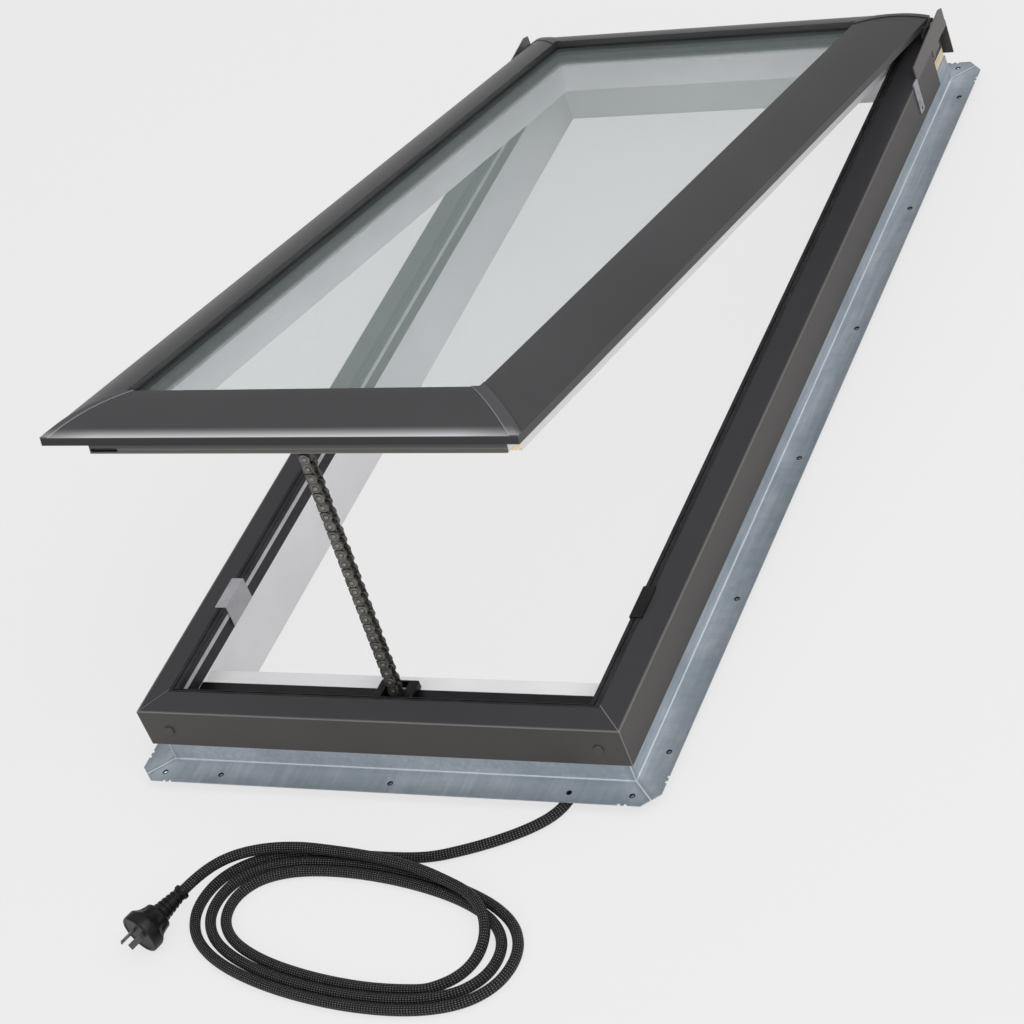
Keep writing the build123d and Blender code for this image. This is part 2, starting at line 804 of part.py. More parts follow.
def sash_ring(inset, width, low, high):
    """A flat rectangular ring in the sash, both faces given as heights."""
    with BuildSketch(sash_base.offset(low)) as ring:
        with Locations((0, sash_length / 2)):
            Rectangle(sash_width - 2 * inset, sash_length - 2 * inset)
            if width:
                Rectangle(
                    sash_width - 2 * inset - 2 * width,
                    sash_length - 2 * inset - 2 * width,
                    mode=Mode.SUBTRACT,
                )
    extrude(ring.sketch, amount=high - low)


# Double glazing on the timbers, with its spacer and the seal under the lips
glass_inset = dome_width - glass_cover
inner_bottom = -sash_timber_top
inner_top = inner_bottom + pane_thickness
outer_bottom = inner_top + pane_gap
outer_top = outer_bottom + pane_thickness
with BuildPart() as inner_pane:
    sash_ring(glass_inset, 0, inner_bottom, inner_top)
pieces["glass_inner"] = inner_pane
with BuildPart() as outer_pane:
    sash_ring(glass_inset, 0, outer_bottom, outer_top)
pieces["glass_outer"] = outer_pane
with BuildPart() as spacer:
    sash_ring(glass_inset + spacer_inset, spacer_width, inner_top, outer_bottom)
pieces["glass_spacer"] = spacer
with BuildPart() as glazing_seal:
    seal_inset = dome_width + glazing_seal_overhang - glazing_seal_width
    sash_ring(seal_inset, glazing_seal_width, outer_top, outer_top + glazing_seal_height)
pieces["glazing_seal"] = glazing_seal

# Bracket under the front rail: a plate, two ears and the pin that the chain turns on
rail_bottom = -sash_timber_top - front_rail_depth
ear_plane = Plane(
    origin=sash_base.from_local_coords(Vector(0, bracket_up_slope, -bracket_drop)),
    x_dir=sash_base.y_dir,
    z_dir=sash_base.x_dir,
)
with BuildPart() as bracket:
    with BuildSketch(sash_base.offset(rail_bottom)):
        with Locations((0, bracket_up_slope)):
            RectangleRounded(
                bracket_plate_width, bracket_plate_length, bracket_plate_round
            )
    extrude(amount=-bracket_sheet)
    for sign in (-1, 1):
        with BuildSketch(ear_plane.offset(sign * bracket_ear_gap / 2)):
            Circle(bracket_pin)
            with Locations((0, bracket_drop + rail_bottom - bracket_sheet)):
                Rectangle(bracket_ear_foot, 0.5, align=(Align.CENTER, Align.MIN))
            make_hull()
        extrude(amount=sign * bracket_sheet)
    with BuildSketch(ear_plane.offset(-bracket_ear_gap / 2 - bracket_sheet)):
        Circle(bracket_pin / 2)
    extrude(amount=bracket_ear_gap + 2 * bracket_sheet)
pieces["chain_bracket"] = bracket

# Chain: inner links with bushes, outer links riveted on their pins, an end block on top
chain_top = ear_plane.origin
chain_foot = Vector(0, chain_lean_y - frame_back, ledge_height - chain_foot_depth)
chain_line = chain_top - chain_foot
chain_up = chain_line.normalized()
link_count = 2 * int((chain_line.length - end_block_reach) // (2 * chain_pitch))
first_pin = chain_line.length - end_block_reach - link_count * chain_pitch
pin_radius = chain_pin / 2
bore_radius = pin_radius + chain_pin_clearance
bush_radius = bore_radius + bush_wall


def chain_plane(distance, side_offset):
    """Sketch plane on the chain: x across, y up the chain, square to its pins."""
    across = Vector(1, 0, 0)
    pins = across.cross(chain_up)
    origin = chain_foot + chain_up * distance + pins * side_offset
    return Plane(origin=origin, x_dir=across, z_dir=pins)


def link_plates(distance, inner_gap):
    """Two plates between neighbouring pins: round on one side, a stop on the other."""
    for sign in (-1, 1):
        with BuildSketch(chain_plane(distance, sign * inner_gap / 2)) as plate:
            with Locations((0, 0), (0, chain_pitch)):
                Circle(chain_pitch / 2 - link_gap)
            with Locations((0, chain_pitch / 2)):
                Rectangle(chain_pitch - 4 * link_gap, chain_pitch)
                Rectangle(
                    link_stop,
                    2 * chain_pitch - 2 * link_gap,
                    align=(Align.MIN, Align.CENTER),
                )
        extrude(plate.sketch, amount=sign * link_sheet)


with BuildPart() as inner_links:
    for i in range(0, link_count, 2):
        distance = first_pin + i * chain_pitch
        link_plates(distance, chain_inner_width)
        for j in (0, 1):
            at = chain_plane(distance + j * chain_pitch, -chain_inner_width / 2)
            with BuildSketch(at):
                Circle(bush_radius)
            extrude(amount=chain_inner_width)
            full = chain_inner_width + 2 * link_sheet
            with BuildSketch(chain_plane(distance + j * chain_pitch, -full / 2)):
                Circle(bore_radius)
            extrude(amount=full, mode=Mode.SUBTRACT)
pieces["chain_inner_links"] = inner_links

outer_gap = chain_inner_width + 2 * link_sheet + 2 * link_gap
pin_span = outer_gap + 2 * link_sheet + 2 * chain_pin_end
with BuildPart() as outer_links:
    for i in range(1, link_count, 2):
        distance = first_pin + i * chain_pitch
        link_plates(distance, outer_gap)
        for j in (0, 1):
            with BuildSketch(chain_plane(distance + j * chain_pitch, -pin_span / 2)):
                Circle(pin_radius)
            extrude(amount=pin_span)
pieces["chain_outer_links"] = outer_links

# End block: joins the last link to the bracket's cross pin
last_pin = first_pin + link_count * chain_pitch
with BuildPart() as end_block:
    with BuildSketch(chain_plane(last_pin, -chain_inner_width / 2)):
        Circle(chain_pitch / 2 - link_gap)
        with Locations((0, end_block_reach / 2)):
            Rectangle(chain_pitch - 2 * link_gap, end_block_reach)
    extrude(amount=chain_inner_width)
    with BuildSketch(ear_plane.offset(end_block_side_gap - bracket_ear_gap / 2)):
        Circle(bracket_pin)
    extrude(amount=bracket_ear_gap - 2 * end_block_side_gap)
    with BuildSketch(ear_plane.offset(-bracket_ear_gap / 2)):
        Circle(bracket_pin / 2 + pin_clearance)
    extrude(amount=bracket_ear_gap, mode=Mode.SUBTRACT)
    with BuildSketch(chain_plane(last_pin, -chain_inner_width)):
        Circle(bore_radius)
    extrude(amount=2 * chain_inner_width, mode=Mode.SUBTRACT)
pieces["chain_end_block"] = end_block


def cord_path(points):
    """A route of straight runs joined by arcs as large as the runs allow."""
    spots = [Vector(*point) for point in points]
    runs = [b - a for a, b in zip(spots, spots[1:])]
    radii = []
    for a, b in zip(runs, runs[1:]):
        half_turn = radians(a.get_angle(b)) / 2
        radii.append(0.45 * min(a.length, b.length) / tan(half_turn))
    print("cord radii", [round(radius) for radius in radii])
    with BuildLine() as path:
        FilletPolyline(*points, radius=radii)
    return path.wires()[0]


# Cord: a lead out of the gland, a flat oval coil and a short end up to the plug
lead_points = (
    (199.0, -586.0, 6.4),
    (199.0, -600.0, 6.4),
    (194.6, -615.4, 6.2),
    (184.3, -630.1, 5.9),
    (165.9, -645.5, 5.8),
    (140.2, -661.0, 5.7),
    (109.4, -675.4, 5.7),
    (75.6, -687.7, 5.7),
    (40.4, -695.2, 5.7),
)
end_points = (
    (-162.0, -764.0, 22.0),
    (-153.5, -740.5, 22.0),
    (-134.0, -714.0, 19.5),
    (-102.0, -698.0, 16.8),
    (-62.0, -693.0, 16.5),
    (-24.0, -695.0, 12.0),
    (10.0, -701.0, 6.0),
)
for name, points in (("cord", lead_points), ("cord_end", end_points)):
    with BuildPart() as tube:
        path = cord_path(points)
        with BuildSketch(Plane(origin=path @ 0, z_dir=path % 0)):
            Circle(cord_diameter / 2)
        sweep(path=path)
    section = pi * cord_diameter**2 / 4
    print(name, "volume over section times length", tube.part.volume / section / path.length)
    pieces[name] = tube

with BuildPart() as gland:
    with BuildSketch(Plane.XZ.offset(frame_back - timber_inset)):
        with Locations((gland_x, gland_height)):
            Circle(gland_diameter / 2)
    extrude(amount=gland_length)
pieces["cord_gland"] = gland

with BuildPart() as coil:
    with BuildSketch():
        with Locations(coil_outer_centre):
            Ellipse(*coil_outer_radii, rotation=coil_turn)
        with Locations(coil_inner_centre):
            Ellipse(*coil_inner_radii, rotation=coil_turn, mode=Mode.SUBTRACT)
    extrude(amount=coil_height)
    chamfer(coil.faces().filter_by(Axis.Z).edges(), coil_chamfer)
pieces["cord_coil"] = coil

# Plug: a ribbed relief with a collar, a round body and two slanted flat blades
heading = Vector(*plug_heading, 0).normalized()
plug_plane = Plane(
    origin=(*plug_start, plug_radius), x_dir=heading, z_dir=heading.cross(Vector(0, 0, 1))
)
plug_axis = Axis(plug_plane.origin, plug_plane.x_dir)
relief_end = relief_length + relief_collar
relief_slope = (relief_thick_radius - relief_thin_radius) / (relief_length - relief_collar)
groove_pitch = (relief_length - relief_collar) / (relief_grooves + 1)
with BuildPart() as relief:
    with BuildSketch(plug_plane):
        with BuildLine():
            Polyline(
                (0, 0),
                (0, relief_collar_radius),
                (relief_collar, relief_collar_radius),
                (relief_collar, relief_thin_radius),
                (relief_length, relief_thick_radius),
                (relief_length, relief_flange_radius),
                (relief_end, relief_flange_radius),
                (relief_end, 0),
                close=True,
            )
        make_face()
    revolve(axis=plug_axis)
    with BuildSketch(plug_plane):
        for i in range(1, relief_grooves + 1):
            with Locations(
                (
                    relief_collar + i * groove_pitch,
                    relief_thin_radius + i * groove_pitch * relief_slope,
                )
            ):
                Rectangle(relief_groove_width, 2 * relief_groove_depth)
    revolve(axis=plug_axis, mode=Mode.SUBTRACT)
pieces["plug_relief"] = relief

shoulder_end = relief_end + plug_shoulder
rim_start = shoulder_end + plug_rim_rise
plug_face = rim_start + plug_rim
with BuildPart() as plug_body:
    with BuildSketch(plug_plane):
        with BuildLine():
            Polyline(
                (relief_end, 0),
                (relief_end, plug_neck_radius),
                (shoulder_end, plug_shoulder_radius),
                (rim_start, plug_radius),
                (plug_face, plug_radius),
                (plug_face, 0),
                close=True,
            )
        make_face()
    revolve(axis=plug_axis)
pieces["plug_body"] = plug_body

with BuildPart() as blades:
    face = Plane(
        origin=plug_plane.from_local_coords(Vector(plug_face, 0, 0)),
        x_dir=(0, 0, 1),
        z_dir=heading,
    )
    with BuildSketch(face):
        for sign in (-1, 1):
            with Locations((blade_rise, sign * blade_spread)):
                Rectangle(blade_width, blade_sheet, rotation=-sign * blade_turn)
    extrude(amount=blade_length)
pieces["plug_blades"] = blades

for name, piece in pieces.items():
    piece.part.label = name
    export_step(piece.part, f"parts/{name}.step")
    print(name, len(piece.part.solids()), round(piece.part.volume, 1))
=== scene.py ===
# Roof skylight, standing open on a pale floor: camera, cord, chain, plug and finishes.
import json
from math import cos, pi, radians, sin

import bpy
import numpy as np
from mathutils import Matrix, Vector


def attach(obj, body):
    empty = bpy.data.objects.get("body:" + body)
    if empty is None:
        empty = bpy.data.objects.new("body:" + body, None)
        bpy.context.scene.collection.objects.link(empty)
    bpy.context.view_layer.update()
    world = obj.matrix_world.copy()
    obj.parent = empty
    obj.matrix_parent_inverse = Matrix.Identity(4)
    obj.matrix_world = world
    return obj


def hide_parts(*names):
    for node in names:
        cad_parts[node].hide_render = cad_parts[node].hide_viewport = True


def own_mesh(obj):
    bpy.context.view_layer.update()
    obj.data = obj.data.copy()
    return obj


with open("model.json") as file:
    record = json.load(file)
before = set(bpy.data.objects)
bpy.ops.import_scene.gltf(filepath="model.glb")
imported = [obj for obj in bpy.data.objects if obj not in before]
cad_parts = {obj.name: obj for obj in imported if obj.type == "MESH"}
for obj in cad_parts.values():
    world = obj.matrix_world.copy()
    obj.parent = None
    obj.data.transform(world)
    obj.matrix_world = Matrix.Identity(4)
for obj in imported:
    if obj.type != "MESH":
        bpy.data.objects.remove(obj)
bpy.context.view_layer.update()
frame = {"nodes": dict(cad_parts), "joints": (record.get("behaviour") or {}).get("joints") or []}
nodes = frame["nodes"]

# Sizes repeated from the part, in metres
frame_width = 0.550
frame_length = 1.180
timber_inset = 0.011
timber_height = 0.091
skirt_bottom = 0.045
flange_top = 0.014
side_hole_x = 0.286
side_hole_spacing = 0.216
end_hole_x = (0.200, 0.268)
end_hole_y = 0.600
sash_half_width = 0.2625
sash_length = 1.160
stile_front = 0.032
stile_notch_end = 0.057
stile_notch_top = -0.031
hinge_up_slope = 1.149
hinge_drop = 0.0092
opening_angle = radians(15.7)
cord_diameter = 0.011

# Worked out from them: the timbers' outer faces, and the plane that the sash lies in
timber_half_width = frame_width / 2 - timber_inset
timber_half_length = frame_length / 2 - timber_inset
mitre_offset = (frame_length - frame_width) / 2
hinge = np.array(frame["joints"][0]["pos_m"])
up_slope = np.array([0.0, cos(opening_angle), -sin(opening_angle)])
out_of_sash = np.array([0.0, sin(opening_angle), cos(opening_angle)])
sash_foot = hinge - hinge_up_slope * up_slope + hinge_drop * out_of_sash

# Camera: its lens in millimetres, its place, and the directions of its own three axes
camera_lens = 115.95
camera_place = (1.63825, -2.53106, 2.13963)
camera_right = (0.885092, 0.349219, -0.307665)
camera_up = (-0.006711, 0.670561, 0.741824)
camera_back = (0.465367, -0.654518, 0.595852)


def place_camera():
    """A long lens that looks down at the lower right corner of the frame."""
    data = bpy.data.cameras.new("camera")
    data.lens = camera_lens
    data.sensor_width = 36.0
    data.clip_end = 100.0
    camera = bpy.data.objects.new("camera", data)
    turn = Matrix((camera_right, camera_up, camera_back)).transposed()
    camera.matrix_world = Matrix.Translation(camera_place) @ turn.to_4x4()
    bpy.context.collection.objects.link(camera)
    bpy.context.scene.camera = camera


def tone(code):
    """A colour written as a hex code, as the linear numbers that a shader takes: the curve of
    sRGB, straight below a small level and a power above it."""
    parts = np.array([int(code[i : i + 2], 16) for i in (1, 3, 5)]) / 255
    low = parts / 12.92
    high = ((parts + 0.055) / 1.055) ** 2.4
    return (*np.where(parts <= 0.04045, low, high).tolist(), 1.0)


# Colours that more than one finish uses
# Painted highlight: the light tone of thin lines along folds, mitres and edges
edge_highlight = tone("#b7b4ae")
# Painted highlight: the bright tone of the lines at the flange's fold and mitres
zinc_highlight = tone("#f2f5f7")
sash_grey = (tone("#3d3d3e"), tone("#444445"))
backdrop = tone("#edecec")


class Socket:
    """The output of a node, used in arithmetic as if it were a number."""

    def __init__(self, finish, output):
        self.finish = finish
        self.output = output

    def math(self, operation, *others):
        """A Math node with this value first."""
        values = dict(enumerate((self, *others)))
        return self.finish.node("ShaderNodeMath", {"operation": operation}, values)

    def reflected(self, operation, other):
        """A Math node with this value second."""
        values = {0: other, 1: self}
        return self.finish.node("ShaderNodeMath", {"operation": operation}, values)

    def __add__(self, other):
        return self.math("ADD", other)

    def __sub__(self, other):
        return self.math("SUBTRACT", other)

    def __mul__(self, other):
        return self.math("MULTIPLY", other)

    def __pow__(self, other):
        return self.math("POWER", other)

    def __radd__(self, other):
        return self.reflected("ADD", other)

    def __rsub__(self, other):
        return self.reflected("SUBTRACT", other)

    def __rmul__(self, other):
        return self.reflected("MULTIPLY", other)

    def __abs__(self):
        return self.math("ABSOLUTE")

    def over(self, level):
        """1 where the value is over the level and 0 elsewhere."""
        return self.math("GREATER_THAN", level)

    def under(self, level):
        """1 where the value is under the level and 0 elsewhere."""
        return self.math("LESS_THAN", level)

    def least(self, other):
        return self.math("MINIMUM", other)

    def most(self, other):
        return self.math("MAXIMUM", other)

    def sine(self):
        return self.math("SINE")

    def nearest(self, spacing):
        """How far the value is from the nearest whole number of spacings."""
        return self.math("PINGPONG", spacing / 2)

    def line_at(self, level, width):
        """1 at the level, fading to 0 at half a width on either side."""
        return abs(self - level).spread(0.0, width / 2, 1.0, 0.0)

    def spread(self, low, high, new_low=0.0, new_high=1.0):
        """The value carried from one range to another and held inside it."""
        limits = {0: self, 1: low, 2: high, 3: new_low, 4: new_high}
        return self.finish.node("ShaderNodeMapRange", {"clamp": True}, limits)


class Finish:
    """The nodes of a material, or of the world, while they are put together."""

    def __init__(self, name, world=False):
        kind = bpy.data.worlds if world else bpy.data.materials
        self.output_node = "ShaderNodeOutputWorld" if world else "ShaderNodeOutputMaterial"
        self.owner = kind.new(name)
        self.owner.use_nodes = True
        self.tree = self.owner.node_tree
        self.tree.nodes.clear()

    def join(self, entry, value):
        """Links a socket to an entry, or sets the entry to a plain value."""
        if isinstance(value, Socket):
            self.tree.links.new(value.output, entry)
        else:
            entry.default_value = value

    def node(self, kind, settings=None, values=None, out=0):
        """Any node: its settings first, then the values or links of its sockets."""
        made = self.tree.nodes.new(kind)
        for key, value in (settings or {}).items():
            setattr(made, key, value)
        for key, value in (values or {}).items():
            self.join(made.inputs[key], value)
        return Socket(self, made.outputs[out])

    def place(self, in_sash=False):
        """Object coordinates, turned into the plane of the sash where that is asked."""
        point = self.node("ShaderNodeTexCoord", out="Object")
        if not in_sash:
            return point
        lean = (-opening_angle, 0, 0)
        sash_plane = {"Vector": point, "Location": sash_foot.tolist(), "Rotation": lean}
        return self.node("ShaderNodeMapping", {"vector_type": "TEXTURE"}, sash_plane)

    def axes(self, point):
        """The three coordinates of a point."""
        first = self.node("ShaderNodeSeparateXYZ", None, {0: point})
        return [Socket(self, output) for output in first.output.node.outputs]

    def stretch(self, point, scale):
        """A point with its three coordinates scaled."""
        values = {0: point, 1: scale}
        return self.node("ShaderNodeVectorMath", {"operation": "MULTIPLY"}, values)

    def noise(self, point, scale, detail=3.0, rough=0.5):
        """Soft noise from 0 to 1."""
        values = {"Vector": point, "Scale": scale, "Detail": detail, "Roughness": rough}
        return self.node("ShaderNodeTexNoise", None, values)

    def cells(self, point, scale, out="Distance"):
        """Cells round scattered points: the distance from them, or a colour for each."""
        return self.node("ShaderNodeTexVoronoi", None, {"Vector": point, "Scale": scale}, out)

    def blend(self, share, first, second):
        """The first colour, with a share of the second over it. A Mix node keeps its colours
        at inputs 6 and 7, and the mixed colour at output 2."""
        values = {0: share, 6: first, 7: second}
        return self.node("ShaderNodeMix", {"data_type": "RGBA"}, values, 2)

    def bump(self, height, distance, strength=1.0):
        """A normal that leans with a height given from 0 to 1."""
        values = {"Height": height, "Distance": distance, "Strength": strength}
        return self.node("ShaderNodeBump", None, values)

    def body(self, **values):
        """The principled shader, its sockets named with underscores for spaces."""
        named = {key.replace("_", " "): value for key, value in values.items()}
        return self.node("ShaderNodeBsdfPrincipled", None, named)

    def done(self, shader):
        """Joins the shader to the output and gives back the material or the world."""
        end = self.tree.nodes.new(self.output_node)
        self.tree.links.new(shader.output, end.inputs["Surface"])
        return self.owner


def lacquer(name, base, light, in_sash=False, marks=None):
    """Satin lacquer on sheet: a faint orange skin, soft clouding, dust, and the marks that
    a function of the colour and the point paints over it: painted shade and painted highlights."""
    f = Finish(name)
    point = f.place(in_sash)
    cloud = f.noise(point, scale=5.0, detail=4.0)
    skin = f.noise(point, scale=700.0, detail=2.0)
    dust = f.noise(point, scale=2600.0, detail=1.0).spread(0.62, 0.8)
    colour = f.blend(cloud.spread(0.3, 0.7), base, light)
    colour = f.blend(dust * 0.16, colour, tone("#a09c96"))
    if marks:
        colour = marks(f, colour, *f.axes(point))
    rough = cloud * 0.1 + skin * 0.08 + 0.3
    normal = f.bump(skin, distance=0.00006, strength=0.5)
    surface = f.body(
        Base_Color=colour, Roughness=rough, Metallic=0.2, Normal=normal, Specular_IOR_Level=0.3
    )
    return f.done(surface)


def frame_marks(f, colour, x, y, z):
    """Painted shade darkens the slopes on top, and painted highlights draw thin light lines at
    the folds and the mitred corners.
    """
    fold_width = 0.0011
    hem_width = 0.0012
    mitre_width = 0.0016
    # Painted shade: the top slopes darker than the upright faces
    colour = f.blend(z.over(timber_height + 0.0005) * 0.8, colour, tone("#36363a"))
    folds = z.line_at(timber_height, fold_width).most(z.line_at(skirt_bottom, hem_width))
    mitre = (abs(y) - abs(x)).line_at(mitre_offset, mitre_width)
    # Painted highlights: light lines along the folds and the mitres
    colour = f.blend(folds * 0.35, colour, edge_highlight)
    return f.blend(mitre * 0.55, colour, edge_highlight)


def nose_marks(f, colour, x, v, n):
    """Painted shade on the fascia below the nose, and a painted highlight: a bright band along
    the lower front edge, weaker towards the corners.
    """
    band_start, band_end = 0.0008, 0.0105
    ends_start = 0.200
    band = v.spread(0.0, 0.0006) * v.spread(band_start, band_end, 1.0, 0.0) ** 1.7
    ends = abs(x).spread(ends_start, sash_half_width - 0.0005, 1.0, 0.4)
    # Painted shade: the fascia below the nose darker
    colour = f.blend(n.under(-0.0006) * 0.5, colour, tone("#1b1b1c"))
    # Painted highlight: the bright band along the nose
    return f.blend(band * ends * n.over(-0.0002), colour, tone("#c6c6c8"))


def corner_marks(f, colour, x, v, n):
    """A strip over the mitre: a painted highlight as a light edge towards the front, painted
    shade as a dark edge along the side, then the nose's painted shade and highlight.
    """
    lower_edge, lower_fade = -0.0094, -0.0076
    upper_fade, upper_edge = 0.0072, 0.0092
    from_mitre = abs(x) - sash_half_width + v.least(sash_length - v)
    lower = from_mitre.spread(lower_edge, lower_fade, 1.0, 0.0)
    upper = from_mitre.spread(upper_fade, upper_edge)
    colour = f.blend(0.22, colour, tone("#6c6c70"))
    # Painted highlight along the strip's front edge, painted shade along its side edge
    colour = f.blend(lower * 0.75, colour, tone("#a2a2a5"))
    colour = f.blend(upper * 0.85, colour, tone("#0c0c0d"))
    return nose_marks(f, colour, x, v, n)


def strip_marks(f, colour, x, v, n):
    """Painted highlights as a light lower edge and a fine line over it, and a darker upper part.
    """
    lower_edge, fine_line, shade_from = -0.0308, -0.0265, -0.0245
    lines = n.line_at(lower_edge, 0.0014).most(n.line_at(fine_line, 0.0010) * 0.5)
    colour = f.blend(n.over(shade_from) * 0.35, colour, tone("#2c2c2d"))
    # Painted highlights: the light lower edge and the fine line over it
    return f.blend(lines * 0.6, colour, edge_highlight)


def galvanised_sheet():
    """Zinc-coated steel: crystals and drawn streaks; painted highlights as a bright line at the
    fold and at the mitres; painted shade darker towards its edge and beside the mitres, and as a
    dark ring round each screw hole."""
    fold_width = 0.0026
    mitre_width = 0.0036
    shade_width = 0.016
    darker_from, darker_to = 0.008, 0.036
    hole_edge, hole_fade = 0.0026, 0.0036
    f = Finish("galvanised_sheet")
    point = f.place()
    x, y, z = f.axes(point)
    crystals = f.cells(point, scale=130.0, out="Color")
    crystal = f.axes(crystals)[0]
    streak = f.noise(f.stretch(point, (60.0, 4.0, 60.0)), scale=3.0, detail=5.0, rough=0.6)
    cross = f.noise(f.stretch(point, (4.0, 60.0, 60.0)), scale=3.0, detail=5.0, rough=0.6)
    stain = f.noise(point, scale=9.0, detail=4.0, rough=0.6)
    colour = f.blend(crystal * 0.4, tone("#b3bcc4"), tone("#c9d0d6"))
    colour = f.blend(streak.spread(0.42, 0.7) * 0.5, colour, tone("#dde2e6"))
    colour = f.blend(cross.spread(0.5, 0.75) * 0.25, colour, tone("#99a4ae"))
    colour = f.blend(stain.spread(0.46, 0.68) * 0.5, colour, tone("#93a0ab"))
    outwards = (abs(x) - timber_half_width).most(abs(y) - timber_half_length)
    # Painted highlight: a bright line along the fold
    fold = outwards.under(fold_width) * z.under(flange_top + 0.0008)
    colour = f.blend(fold * 0.85, colour, zinc_highlight)
    # Painted shade in a band beside the mitres, and a painted highlight on the mitre line itself
    mitre_shade = (abs(y) - abs(x)).line_at(mitre_offset, shade_width)
    mitre = (abs(y) - abs(x)).line_at(mitre_offset, mitre_width)
    # Painted shade: darker towards the outer edge
    colour = f.blend(outwards.spread(darker_from, darker_to) * 0.5, colour, tone("#55626e"))
    colour = f.blend(mitre_shade * 0.45, colour, tone("#5d6a76"))
    colour = f.blend(mitre * 0.9, colour, zinc_highlight)
    # Painted shade: a dark ring round each screw hole, standing in for the shadow under the
    # sheet
    along = side_hole_spacing / 2 - y.nearest(side_hole_spacing)
    side_hole = along ** 2.0 + (abs(x) - side_hole_x) ** 2.0
    inner, outer = end_hole_x
    across = abs(x).least(abs(abs(x) - inner)).least(abs(abs(x) - outer))
    end_hole = across ** 2.0 + (abs(y) - end_hole_y) ** 2.0
    from_hole = side_hole.least(end_hole) ** 0.5
    hole = from_hole.spread(hole_edge, hole_fade, 1.0, 0.0)
    colour = f.blend(hole, colour, tone("#0a0b0c"))
    rough = crystal * 0.1 + stain * 0.15 + 0.34
    normal = f.bump(streak * 0.6 + crystal * 0.4, distance=0.0002, strength=0.35)
    return f.done(f.body(Base_Color=colour, Metallic=0.5, Roughness=rough, Normal=normal))


# How a point is squeezed so that grain runs long in one direction
along_y = (1.0, 0.03, 1.0)
along_x = (0.03, 1.0, 1.0)


def wood(name, bare_mask=None, along=along_y, in_sash=False, dark_mask=None):
    """White lacquer over fine grain, bare pine and black where masks of a point say so."""
    f = Finish(name)
    point = f.place(in_sash)
    grain = f.noise(f.stretch(point, along), scale=420.0, detail=4.0, rough=0.65)
    rings = f.noise(f.stretch(point, along), scale=95.0, detail=3.0, rough=0.5)
    cloud = f.noise(point, scale=7.0, detail=3.0)
    paint = f.blend(cloud.spread(0.35, 0.7), tone("#e8e7e8"), tone("#f4f2f3"))
    paint = f.blend(grain.spread(0.55, 0.8) * 0.12, paint, tone("#b3b2b6"))
    pine = f.blend(rings.spread(0.35, 0.65), tone("#f1e6d1"), tone("#e2cfae"))
    pine = f.blend(grain.spread(0.5, 0.8) * 0.5, pine, tone("#bfa27a"))
    bare = bare_mask(*f.axes(point)) if bare_mask else 0.0
    colour = f.blend(bare, paint, pine)
    if dark_mask:
        colour = f.blend(dark_mask(*f.axes(point)), colour, tone("#0b0b0b"))
    rough = bare * 0.35 + grain * 0.1 + 0.3
    normal = f.bump(grain * 0.7 + rings * 0.3, distance=0.00025, strength=0.5)
    return f.done(f.body(Base_Color=colour, Roughness=rough, Normal=normal))


def outer_end(x, y, z):
    """Beyond the front and rear faces of the frame's timbers, less half a millimetre."""
    return abs(y).over(timber_half_length - 0.0005)


def outside_of_jamb(x, y, z):
    """The jamb's outer side and its two ends."""
    return abs(x).over(timber_half_width - 0.0015).most(outer_end(x, y, z))


def stile_notch(x, v, n):
    """The notch cut in the lower front end of a stile, up the slope and below its top."""
    return v.under(stile_notch_end + 0.0005) * n.under(stile_notch_top + 0.0005)


def stile_end(x, v, n):
    """The front face of a stile above its notch."""
    return v.under(stile_front + 0.0003) * n.over(stile_notch_top + 0.0005)


def moulded(name, base, light, rough_at=0.45, grain_scale=1500.0, depth=0.0001):
    """Moulded plastic or rubber with a fine spark-eroded skin and handling marks."""
    f = Finish(name)
    point = f.place()
    skin = f.noise(point, scale=grain_scale, detail=3.0, rough=0.6)
    marks = f.noise(point, scale=40.0, detail=5.0, rough=0.6)
    colour = f.blend(marks.spread(0.4, 0.75), base, light)
    rough = marks * 0.14 + skin * 0.1 + (rough_at - 0.1)
    normal = f.bump(skin, distance=depth, strength=0.6)
    surface = f.body(
        Base_Color=colour, Roughness=rough, Normal=normal, Specular_IOR_Level=0.3
    )
    return f.done(surface)


def plated_steel(name, base, dark, rough_at=0.32, metal=0.95):
    """Steel with rolled streaks, a passivated cloud and small pits."""
    f = Finish(name)
    point = f.place()
    streak = f.noise(f.stretch(point, (1.0, 0.08, 1.0)), scale=900.0, detail=4.0, rough=0.6)
    cloud = f.noise(point, scale=60.0, detail=4.0, rough=0.6)
    pits = f.cells(point, scale=900.0).spread(0.0, 0.16, 1.0, 0.0)
    colour = f.blend(cloud.spread(0.4, 0.7), base, dark)
    colour = f.blend(pits * 0.5, colour, tone("#1d1b19"))
    rough = streak * 0.16 + cloud * 0.16 + (rough_at - 0.1)
    normal = f.bump(streak, distance=0.0001, strength=0.4)
    return f.done(f.body(Base_Color=colour, Metallic=metal, Roughness=rough, Normal=normal))


